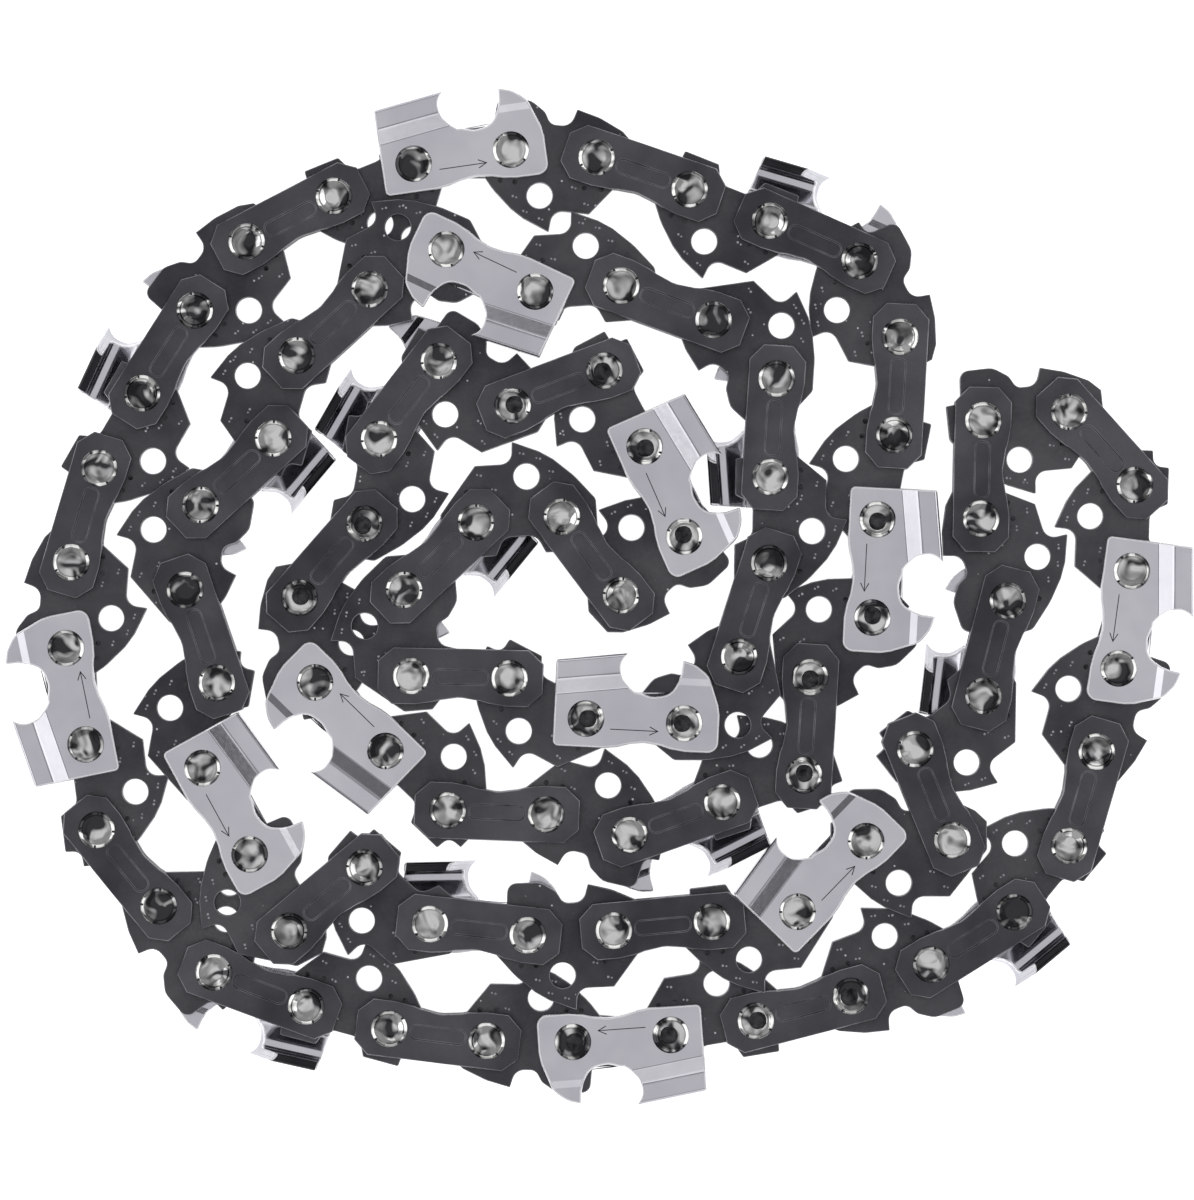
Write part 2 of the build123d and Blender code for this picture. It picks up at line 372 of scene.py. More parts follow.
@dataclass(frozen=True)
class SteelFinish:
    """Steel with a thin surface layer: two tones in patches, and a fine grain that varies the roughness. On
    rivet ends the patches are painted reflections.

    Sizes of patches, grain and dents are real sizes in mm.
    """

    name: str
    tone: str
    second_tone: str
    roughness: Pair
    patch_mm: float
    grain_mm: float
    grain_depth: float
    dent_mm: float = 0.0
    patch_edge: float = 0.18
    patch_detail: float = 3.0
    patch_roughness: float = 0.6
    patch_swirl: float = 0.0
    patch_depth: float = 0.0
    patch_bump: float = 0.2
    grain_detail: float = 2.0
    grain_range: Pair = (0.3, 0.7)
    grain_bump: float = 0.3
    dent_tone: str = "#cfcfd3"
    dent_edge: Pair = (0.11, 0.06)
    dent_limit: float = 0.65

    def noise(self, tree: Tree, place: Socket, size_mm: float, settings: dict[str, float]) -> Socket:
        """Noise over the piece, with patches of a real size."""
        scaled = {"Scale": 1 / (size_mm * METRES_PER_MM), **settings}
        return add_node(tree, "ShaderNodeTexNoise", scaled, {"Vector": place}).outputs["Fac"]

    def normal(self, tree: Tree, patches: Socket, grain: Socket) -> Socket:
        """Relief of the grain, and of the patches where they have one.

        Args:
            tree: node tree of the material.
            patches: noise of the patches.
            grain: noise of the grain.

        Returns:
            The bumped normal.
        """
        layers = [(grain, self.grain_depth, self.grain_mm * METRES_PER_MM * self.grain_bump)]
        if self.patch_depth:
            layers.insert(0, (patches, self.patch_depth, self.patch_mm * METRES_PER_MM * self.patch_bump))
        below: dict[str, Socket] = {}
        for height, strength, distance in layers:
            settings = {"Strength": strength, "Distance": distance}
            bump = add_node(tree, "ShaderNodeBump", settings, {"Height": height, **below})
            below = {"Normal": bump.outputs["Normal"]}
        return below["Normal"]

    def dents(self, tree: Tree, place: Socket, colour: Socket) -> Socket:
        """Pale dents here and there, where tumbling has worn through the oxide.

        Args:
            tree: node tree of the material.
            place: coordinates on the piece.
            colour: colour of the oxide.

        Returns:
            Colour with the dents in it.
        """
        scale = {"Scale": 1 / (self.dent_mm * METRES_PER_MM)}
        cells = add_node(tree, "ShaderNodeTexVoronoi", scale, {"Vector": place}).outputs
        near = remap(tree, cells["Distance"], self.dent_edge)
        chance = add_node(tree, "ShaderNodeSeparateColor", {}, {"Color": cells["Color"]}).outputs["Red"]
        limit = {"operation": "GREATER_THAN", 1: self.dent_limit}
        few = add_node(tree, "ShaderNodeMath", limit, {0: chance}).outputs["Value"]
        both = {"operation": "MULTIPLY"}
        share = add_node(tree, "ShaderNodeMath", both, {0: near, 1: few}).outputs["Value"]
        tones = {"data_type": "RGBA", MIX_SECOND: linear(self.dent_tone)}
        mixed = add_node(tree, "ShaderNodeMix", tones, {MIX_SHARE: share, MIX_FIRST: colour})
        return mixed.outputs[MIX_RESULT]

    def material(self) -> bpy.types.Material:
        """Node material of this finish.

        Returns:
            The material, made once and found again by its name.
        """
        known = bpy.data.materials.get(self.name)
        if known:
            return known
        made = bpy.data.materials.new(self.name)
        made.use_nodes = True
        tree = made.node_tree
        shader = tree.nodes["Principled BSDF"]
        shader.inputs["Metallic"].default_value = 1.0
        place = add_node(tree, "ShaderNodeTexCoord", {}, {}).outputs["Object"]
        patches = self.noise(tree, place, self.patch_mm, {
            "Detail": self.patch_detail, "Roughness": self.patch_roughness, "Distortion": self.patch_swirl})
        spread = remap(tree, patches, (0.5 - self.patch_edge, 0.5 + self.patch_edge))
        tones = {"data_type": "RGBA", MIX_FIRST: linear(self.tone), MIX_SECOND: linear(self.second_tone)}
        colour = add_node(tree, "ShaderNodeMix", tones, {MIX_SHARE: spread}).outputs[MIX_RESULT]
        if self.dent_mm:
            colour = self.dents(tree, place, colour)
        grain = self.noise(tree, place, self.grain_mm, {"Detail": self.grain_detail})
        tree.links.new(colour, shader.inputs["Base Color"])
        tree.links.new(remap(tree, grain, self.grain_range, self.roughness), shader.inputs["Roughness"])
        tree.links.new(self.normal(tree, patches, grain), shader.inputs["Normal"])
        return made


# Black oxide on the straps: faintly violet, with a soft sheen and a fine grain
BLUED = SteelFinish("black_oxide_steel", "#626166", "#444347", (0.36, 0.46), 12.0, 0.35, 0.14)
# The same oxide on the drive links, with small dents from tumbling
TUMBLED = SteelFinish("tumbled_oxide_steel", "#5f5e61", "#424145", (0.36, 0.46), 10.0, 0.35, 0.14, 1.2)
# Rounded edges painted a pale grey: thin lines of painted highlight
EDGE_HIGHLIGHT = SteelFinish("painted_highlight_oxide_edge", "#a4a4aa", "#5c5c62", (0.26, 0.36), 3.0, 0.3, 0.1)
# Bottom of a small dent in a drive link, knocked bright
DENT = SteelFinish("bright_dent", "#b4b4b9", "#86868c", (0.3, 0.4), 1.0, 0.3, 0.05)
# Edge of the slot pressed into a strap, painted a mid grey: a weaker painted highlight that outlines the
# slot
PRESSED = SteelFinish("pressed_slot_painted_highlight", "#88878d", "#58575d", (0.3, 0.4), 3.0, 0.3, 0.1)
# Hard chrome on the cutters: a pale grey mirror, slightly blurred
CHROME = SteelFinish("satin_hard_chrome", "#d0cfd5", "#bfbec5", (0.15, 0.21), 10.0, 0.5, 0.008)
# Edges of the cutters, painted near white and rough so that they catch the light of all the lamps: a painted
# highlight
RIM = SteelFinish("chrome_rim_painted_highlight", "#fafafc", "#f0f0f4", (0.46, 0.56), 3.0, 0.4, 0.02)
# Filed front of the tooth: bare steel, a little darker than the chrome
GROUND = SteelFinish("ground_steel_edge", "#c2c2c8", "#b0b0b6", (0.16, 0.24), 3.0, 0.4, 0.02)
# Inner edge of the top plate, painted dark grey: painted shade and dark reflection under the top plate
TOP_PLATE_SHADE = SteelFinish("top_plate_painted_shade", "#37373a", "#29292c", (0.18, 0.28), 4.0, 0.4, 0.03)
# Rolled rivet ends: polished gunmetal, whose swirled light and dark patches are painted reflections
ROLLED = SteelFinish(
    "rolled_rivet_painted_reflections", "#d8d8d6", "#3c3c3e", (0.06, 0.16), 2.0, 0.4, 0.05,
    patch_edge=0.09, patch_detail=1.0, patch_swirl=0.8, patch_depth=0.3)
# Pits in rivets and oil dimples in drive links, painted nearly black: painted shade and dark reflection in
# these hollows
PIT = SteelFinish("pit_painted_shade", "#4c4c4e", "#1c1c1e", (0.2, 0.4), 0.9, 0.3, 0.1, patch_depth=0.3)
# Stamped lines in the chrome and nicks in the rivet ends: dull and dark
STAMPED = SteelFinish("stamped_line", "#4a4a4e", "#3a3a3e", (0.4, 0.5), 2.0, 0.3, 0.1)


def coat(piece: Piece, *finishes: SteelFinish) -> int:
    """Add finishes to the material slots of a piece.

    Args:
        piece: object that gets the finishes.
        finishes: finishes in the order of their slots.

    Returns:
        Number of the last slot.
    """
    for finish in finishes:
        piece.data.materials.append(finish.material())
    return len(piece.data.materials) - 1


@dataclass
class LinkPlace:
    """Place of one link: the middles of its rear and front rivets in metres, and the node of its plates."""

    rear: Vector
    front: Vector
    node: str = ""

    def matrix(self) -> Matrix:
        """Frame of the link: x to its front rivet, y level and to the cutting side.

        Returns:
            Matrix from mm in the link's frame to metres in the scene.
        """
        forward = (self.front - self.rear).normalized()
        sideways = Vector((0, 0, 1)).cross(forward).normalized()
        upright = forward.cross(sideways)
        turned = Matrix((forward, sideways, upright)).transposed().to_4x4()
        return Matrix.Translation(self.rear) @ turned @ Matrix.Scale(METRES_PER_MM, 4)


@dataclass
class ChainLay:
    """Where the links lie, read from the rivets and plates of the frame. Lengths in mm."""

    outer_span: float = 9.93
    link_count: int = 45
    near_rivets: int = 6
    span_slack: float = 0.005
    outer: list[LinkPlace] = field(default_factory=list)
    drive: list[LinkPlace] = field(default_factory=list)

    def rivet_middles(self) -> list[Vector]:
        """Middle of every rivet of the frame.

        Returns:
            Middles in metres, in no set order.
        """
        copy = duplicate(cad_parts["rivets"])
        with editing(copy):
            bpy.ops.mesh.select_all(action="SELECT")
            bpy.ops.mesh.remove_doubles(threshold=WELD_METRES)
            bpy.ops.mesh.separate(type="LOOSE")
        middles = []
        for pin in list(bpy.context.selected_objects):
            points = [vertex.co for vertex in pin.data.vertices]
            middles.append(sum(points, Vector()) / len(points))
            bpy.data.objects.remove(pin)
        return middles

    def pair_in(self, node: str, middles: list[Vector]) -> tuple[Vector, Vector]:
        """The two rivets that go through the plates of a node.

        Args:
            node: name of a CAD node with the plates of one outer link.
            middles: middles of all rivets.

        Returns:
            The two middles, in no set order.
        """
        low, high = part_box(node)
        centre = (low + high) / 2
        near = sorted(middles, key=lambda middle: (middle - centre).length)[:self.near_rivets]
        span = self.outer_span * METRES_PER_MM
        slack = self.span_slack * span
        pairs = [(one, two) for place, one in enumerate(near) for two in near[place + 1:]]
        fitting = [pair for pair in pairs if abs((pair[0] - pair[1]).length - span) < slack]
        return min(fitting, key=lambda pair: ((pair[0] + pair[1]) / 2 - centre).length)

    def read(self) -> None:
        """Find the rivets of every link, and which of them is ahead."""
        middles = self.rivet_middles()
        nodes = [""] * self.link_count
        for kind, those in (("tie_strap_pair", TIES), ("right_cutter", RIGHTS), ("left_cutter", LEFTS)):
            nodes[those] = [f"{kind}_{number:02}" for number, _ in enumerate(nodes[those], 1)]
        pairs = [self.pair_in(node, middles) for node in nodes]
        for index, pair in enumerate(pairs):
            behind = pairs[(index + 1) % self.link_count]
            rear = min(pair, key=lambda middle: min((middle - other).length for other in behind))
            front = pair[1] if rear is pair[0] else pair[0]
            self.outer.append(LinkPlace(rear, front, nodes[index]))
        for index, place in enumerate(self.outer):
            behind_place = self.outer[(index + 1) % self.link_count]
            self.drive.append(LinkPlace(behind_place.front, place.rear))
        log.info("%d rivets, %d outer links", len(middles), len(self.outer))


def lay_copies(laid: list[tuple[Piece, LinkPlace]], node: str) -> None:
    """Copy patterns to their links and join the copies to one piece that stands for a CAD node.

    Args:
        laid: pattern and place of every copy.
        node: CAD node that the piece stands for.
    """
    deselect()
    copies = []
    for pattern, place in laid:
        copy = duplicate(pattern)
        copy.data.transform(place.matrix())
        copy.select_set(True)
        copies.append(copy)
    bpy.context.view_layer.objects.active = copies[0]
    if len(copies) > 1:
        bpy.ops.object.join()
    piece = bpy.context.object
    piece.name = piece.data.name = node + "_dressed"
    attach(piece, BODY)
    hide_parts(node)
    log.info("%s: %d copies, %d faces", piece.name, len(copies), len(piece.data.polygons))


@dataclass
class PlateSizes:
    """Sizes shared by all pieces in mm: heights over the middle plane, and the radius of rivet holes."""

    gauge: float = 1.3
    strap_inside: float = 0.82
    strap_outside: float = 1.92
    rivet_hole: float = 1.75

    def drill_rivet_holes(self, piece: Piece, span: float) -> None:
        """Cut the two rivet holes of a plate, which lie a span apart."""
        for along in (0, span):
            drill(piece, (along, 0), self.rivet_hole)


@dataclass
class DriveLinks:
    """Drive links: hooked tang with a round hole, and one of two top edges. Lengths in mm."""

    heights: PlateSizes
    span: float = 8.71
    overhang: float = 3.55
    hole_place: Pair = (3.3, -4.3)
    hole_radius: float = 1.3
    edge_round: float = 0.09
    sharp_angle: float = 40.0
    oil_dimples: tuple[Pair, ...] = ((0.7, -3.16), (-0.8, -3.13), (7.74, -3.13), (9.45, -3.1))
    dimple_radius: float = 0.27
    dents: tuple[Pair, ...] = ((0.6, -4.6), (1.8, -6.0), (3.45, -6.6), (6.5, -3.15), (7.9, -4.7))
    dent_radius: float = 0.13
    second_dent: float = 0.8
    dent_gap: float = 0.36
    dent_slope: float = 0.25
    mark_depth: float = 0.07
    mark_sides: int = 10

    def tang(self) -> list[Corner]:
        """Corners of the lower edge, from the front flank to the rear one."""
        return corners(
            (self.span + self.overhang, -1.0, 0.5), (8.45, -5.72, 0.15), (4.75, -5.68, 2.1),
            (4.55, -7.9, 0.12), (1.1, -6.45, 5.0), (-1.5, -4.1, 4.0), (-self.overhang, -1.6, 0.8))

    def top(self, kind: TopEdge) -> list[Corner]:
        """Top edge of a link.

        Args:
            kind: which top edge it has.

        Returns:
            Corners from the rear flank to the front one.
        """
        rear, front = (-self.overhang, 1.85, 0.15), (self.span + self.overhang, 1.85, 0.15)
        if kind is TopEdge.PLAIN:
            return corners(
                rear, (-2.0, 1.95, 1.4), (-1.85, 3.52, 0.2), (1.85, 3.52, 0.25), (2.7, 1.72, 1.2),
                (6.0, 1.72, 1.2), (self.span - 1.85, 3.52, 0.25), (self.span + 1.85, 3.52, 0.2),
                (self.span + 2.0, 1.95, 1.4), front)
        return corners(
            rear, (-2.05, 2.0, 1.2), (-1.8, 5.22, 0.95), (1.55, 5.25, 1.5), (3.1, 4.2, 1.0),
            (3.75, 2.98, 0.9), (5.75, 2.98, 1.2), (6.32, 4.76, 0.08), (8.7, 4.1, 2.0),
            (11.1, 2.95, 0.6), front)

    def build(self, kind: TopEdge) -> Piece:
        """Model one drive link in its own frame.

        Args:
            kind: which top edge it has.

        Returns:
            The pattern, in mm.
        """
        half = self.heights.gauge / 2
        link = plate(kind.value + "_pattern", self.top(kind) + self.tang(), -half, half)
        drill(link, self.hole_place, self.hole_radius)
        merge_flats(link)
        return link

    def dress(self, link: Piece) -> None:
        """Give a drive link its oxide finish, pale edges of painted highlight, rivet holes, oil dimples in
        painted shade, and dents.

        Args:
            link: pattern of the link.
        """
        link.data.materials.clear()
        highlight_edge = coat(link, TUMBLED, EDGE_HIGHLIGHT)
        # Rounded edges take a pale grey that is a painted highlight
        break_edges(link, self.edge_round, highlight_edge)
        self.heights.drill_rivet_holes(link, self.span)
        # Oil dimples are painted nearly black: painted shade in these hollows
        marks = [(place, self.dimple_radius, PIT) for place in self.oil_dimples]
        for along, across in self.dents:
            beside = (along + self.dent_gap, across - self.dent_gap * self.dent_slope)
            marks.append(((along, across), self.dent_radius, DENT))
            marks.append((beside, self.second_dent * self.dent_radius, DENT))
        depth, face = 2 * self.mark_depth, self.heights.gauge / 2
        for place, radius, finish in marks:
            tool = cylinder(radius, depth, (*place, face), self.mark_sides)
            coat(tool, finish)
            combine(link, tool, Turning.CUT)
        shade(link, self.sharp_angle)


@dataclass
class TieStraps:
    """Flat straps with chamfered ends, a waist on the tang side and a pressed slot. Lengths in mm."""

    heights: PlateSizes
    span: float = 9.93
    overhang: float = 3.4
    half_width: float = 2.87
    half_end: float = 1.5
    corner: float = 1.5
    corner_round: float = 0.2
    waist: float = 0.77
    waist_start: float = 1.3
    waist_half: float = 1.2
    waist_round: float = 6.0
    slot_ends: Pair = (2.15, 7.8)
    slot_half_width: float = 0.74
    slot_corner: float = 0.65
    slot_arc_step: float = 22.5
    slot_depth: float = 0.24
    edge_round: float = 0.1
    sharp_angle: float = 40.0

    def outline(self) -> list[Corner]:
        """Edge of a strap.

        Returns:
            Corners, from the upper one of the rear end over the top edge and back along the waist.
        """
        rear, front, middle = -self.overhang, self.span + self.overhang, self.span / 2
        edge, end, waist = self.half_width, self.half_end, self.waist - self.half_width
        small, large = self.corner_round, self.waist_round
        return corners(
            (rear, end, small), (rear + self.corner, edge, small), (front - self.corner, edge, small),
            (front, end, small), (front, -end, small), (front - self.corner, -edge, small),
            (self.span - self.waist_start, -edge, large), (middle + self.waist_half, waist, large),
            (middle - self.waist_half, waist, large), (self.waist_start, -edge, large),
            (rear + self.corner, -edge, small), (rear, -end, small))

    def build(self, side: Side) -> Piece:
        """Model one strap on its side of the chain, with the slot on its outer face.

        Args:
            side: side of the chain.

        Returns:
            The pattern, in mm.
        """
        sign, half = side.value, self.slot_half_width
        inside, outside = sign * self.heights.strap_inside, sign * self.heights.strap_outside
        strap = plate(f"strap_pattern_{side.name}", self.outline(), inside, outside)
        slot = rectangle(self.slot_ends, (-half, half), self.slot_corner)
        bottom, over = outside - sign * self.slot_depth, outside + sign * TOOL_OVER
        combine(strap, plate("slot_tool", slot, bottom, over, self.slot_arc_step), Turning.CUT)
        merge_flats(strap)
        return strap

    def dress(self, strap: Piece) -> None:
        """Give a strap its oxide finish, pale edges of painted highlight, a slot edge in a weaker painted
        highlight, and rivet holes.

        Args:
            strap: pattern of the strap.
        """
        strap.data.materials.clear()
        highlight_edge = coat(strap, BLUED, EDGE_HIGHLIGHT)
        pressed = coat(strap, PRESSED)
        # Rounded edges take a pale grey that is a painted highlight
        break_edges(strap, self.edge_round, highlight_edge)
        slot_reach = self.slot_half_width + 2 * self.edge_round
        # Rounded faces round the slot take the mid grey of a weaker painted highlight
        for face in strap.data.polygons:
            in_slot = 0 < face.center.x < self.span and abs(face.center.y) < slot_reach
            if face.material_index == highlight_edge and in_slot:
                face.material_index = pressed
        self.heights.drill_rivet_holes(strap, self.span)
        shade(strap, self.sharp_angle)


@dataclass
class Cutters:
    """Cutters: chassis with the depth gauge, and a tooth bent out, up and over the chain. Lengths in mm."""

    heights: PlateSizes
    span: float = 9.93
    rear: float = -3.25
    front_overhang: float = 3.55
    bottom: float = -2.9
    waist: float = -2.2
    bend_low: float = 2.25
    bend_high: float = 3.85
    tooth_root: float = 0.6
    tooth_height: float = 5.85
    tooth_rise: float = 7.6
    tooth_offset: float = 1.2
    tooth_arc_step: float = 12.0
    top_plate_width: float = 4.6
    top_plate_thickness: float = 0.95
    top_plate_angle: float = 25.0
    tooth_tip: float = 4.22
    shade_lean: float = -0.25
    shade_reach: float = 0.4
    file_radius: float = 1.8
    file_above: float = 0.29
    file_steps: int = 10
    file_end: float = 143.0
    file_over: float = 0.5
    file_far: float = 8.0
    gullet_front: float = 5.2
    gullet_gap: float = 0.3
    gullet_low: float = 2.85
    gauge_folds: Pair = (3.85, 4.55)
    gauge_offset: float = 0.5
    line_width: float = 0.09
    line_depth: float = 0.08
    arrow_ends: Pair = (2.5, 7.35)
    arrow_height: float = -0.95
    arrow_head: Pair = (0.85, 0.42)
    arrow_notch: float = 3.0
    edge_round: float = 0.2
    sharp_angle: float = 30.0

    def chassis(self) -> Piece:
        """Flat lower plate of a cutter.

        Returns:
            The plate with the gullet and the depth gauge, in mm.
        """
        front = self.span + self.front_overhang
        outline = corners(
            (self.rear, self.bend_low), (self.gullet_front, 2.9, 0.8), (6.5, 2.5, 1.6), (8.4, 2.75, 1.8),
            (9.35, 4.6, 2.0), (9.5, 6.35, 0.2), (10.85, 5.95, 1.4), (12.25, 4.9, 1.8), (front, 1.5, 3.0),
            (front, self.bottom, 1.1), (9.4, self.bottom, 5.0), (7.0, self.waist, 5.0),
            (5.2, self.waist, 5.0), (2.6, self.bottom, 5.0), (self.rear, self.bottom, 0.55))
        chassis = plate("chassis", outline, self.heights.strap_inside, self.heights.strap_outside)
        coat(chassis, CHROME)
        with editing(chassis):
            for height in self.gauge_folds:
                bpy.ops.mesh.select_all(action="SELECT")
                bpy.ops.mesh.bisect(plane_co=(0, height, 0), plane_no=(0, 1, 0))
        low, high = self.gauge_folds
        for vertex in chassis.data.vertices:
            vertex.co.z += self.gauge_offset * min(max((vertex.co.y - low) / (high - low), 0.0), 1.0)
        return chassis

    def tooth(self) -> Piece:
        """Bent tooth, swept from the heel to the gullet and cut to its leading edges.

        Returns:
            The tooth, in mm.
        """
        inside, outside = self.heights.strap_inside, self.heights.strap_outside
        tooth_outside = outside + self.tooth_offset
        inner_fold = inside + self.tooth_offset
        inner_edge = tooth_outside - self.top_plate_width
        below_top = self.tooth_height - self.top_plate_thickness
        slope = math.tan(math.radians(self.tooth_rise))
        section = corners(
            (self.tooth_root, inside), (self.bend_low, inside, 1.2), (self.bend_high, inner_fold, 0.4),
            (below_top, inner_fold, 0.5), (below_top, inner_edge, 0.2), (self.tooth_height, inner_edge, 0.5),
            (self.tooth_height, tooth_outside, 0.4), (self.bend_high, tooth_outside, 1.0),
            (self.bend_low, outside, 0.6), (self.tooth_root, outside))
        outline = rounded(section, self.tooth_arc_step)
        points = [Vector((self.rear, point.x, point.y)) for point in outline]
        length = self.gullet_front - self.rear
        tooth = prism("tooth", points, Vector((length, length * slope, 0)))
        coat(tooth, CHROME)
        combine(tooth, self.file(tooth_outside, inner_edge), Turning.CUT)
        painted_shade = coat(tooth, TOP_PLATE_SHADE)
        # Faces at the top plate's inner edge that face the chain take a dark grey: painted shade and dark
        # reflection
        for face in tooth.data.polygons:
            if face.normal.z < self.shade_lean and face.center.z < inner_edge + self.shade_reach:
                face.material_index = painted_shade
        return tooth

    def file(self, outer: float, inner: float) -> Piece:
        """Tool with the sweep of a round file, which hollows the side plate and points the top plate.

        Args:
            outer: outer face of the tooth, over the middle plane.
            inner: inner edge of the top plate.

        Returns:
            The tool, in mm.
        """
        rise = math.tan(math.radians(self.tooth_rise))
        slant = math.radians(self.top_plate_angle)
        tip_height = self.tooth_height + (self.tooth_tip - self.rear) * rise
        middle_height = tip_height + self.file_above - self.file_radius
        start = math.acos((tip_height - middle_height) / self.file_radius)
        end = math.radians(self.file_end)
        middle = self.tooth_tip + self.file_radius * math.sin(start) / math.cos(slant)
        over, far = self.file_over, self.gullet_front + self.file_far
        outline = [(far, 2 * tip_height), (self.tooth_tip, 2 * tip_height)]
        for step in range(self.file_steps + 1):
            turn = start + (end - start) * step / self.file_steps
            outline.append((
                middle - self.file_radius * math.sin(turn) / math.cos(slant),
                middle_height + self.file_radius * math.cos(turn)))
        outline += [(self.gullet_front + self.gullet_gap, self.gullet_low), (far, self.gullet_low)]
        depth = outer - inner + 2 * over
        base = [Vector((u + over * math.tan(slant), v, outer + over)) for u, v in outline]
        tool = prism("file", base, Vector((-depth * math.tan(slant), 0, -depth)))
        coat(tool, GROUND)
        return tool

    def arrow(self) -> list[Piece]:
        """Tools for the stamped direction arrow.

        Returns:
            The shaft and the two strokes of the head.
        """
        level, front = self.arrow_height, self.arrow_ends[1]
        half = self.line_width / 2
        reach, rise = self.arrow_head
        lines = [rectangle(self.arrow_ends, (level - half, level + half))]
        for sign in (1, -1):
            lines.append(corners(
                (front + half, level), (front - reach, level + sign * (rise + half)),
                (front - reach - half, level + sign * (rise - half)),
                (front - self.arrow_notch * half, level)))
        face = self.heights.strap_outside
        tools = [plate("line", line, face - self.line_depth, face + TOOL_OVER) for line in lines]
        for tool in tools:
            coat(tool, STAMPED)
        return tools

    def build(self) -> Piece:
        """Model the left-hand cutter in its own frame.

        Returns:
            The pattern, in mm.
        """
        cutter = self.chassis()
        cutter.name = "left_cutter_pattern"
        combine(cutter, self.tooth(), Turning.JOIN)
        merge_flats(cutter)
        return cutter

    def dress(self, cutter: Piece) -> None:
        """Give a cutter its near-white edges of painted highlight, rivet holes and stamped arrow.

        Args:
            cutter: pattern of the left-hand cutter.
        """
        # Rounded edges take a near-white, rough finish: a painted highlight along the outline
        rim = coat(cutter, RIM)
        break_edges(cutter, self.edge_round, rim)
        self.heights.drill_rivet_holes(cutter, self.span)
        for tool in self.arrow():
            combine(cutter, tool, Turning.CUT)
        shade(cutter, self.sharp_angle)

    def mirrored(self, left: Piece) -> Piece:
        """Right-hand cutter: the left-hand one mirrored to the other side of the chain.

        Args:
            left: pattern of the left-hand cutter.

        Returns:
            The pattern of the right-hand cutter.
        """
        right = duplicate(left)
        right.data.transform(Matrix.Scale(-1, 4, Vector((0, 0, 1))))
        right.data.flip_normals()
        shade(right, self.sharp_angle)
        return right


class RivetEnd(Enum):
    """Middle of a rolled rivet end: insets and rises in mm, from the ring inwards."""

    DOMED = ((0.15, 0.05), (0.3, 0.065), (0.35, 0.05), (0.3, 0.02), (0.2, 0.004))
    CROWNED = ((0.06, -0.09), (0.16, 0.065), (0.28, 0.1), (0.32, 0.09), (0.22, 0.03), (0.2, 0.01))
    PITTED = (
        (0.12, 0.06), (0.2, 0.05), (0.22, 0.03), (0.08, -0.02), (0.1, -0.1), (0.3, -0.05), (0.22, -0.01))


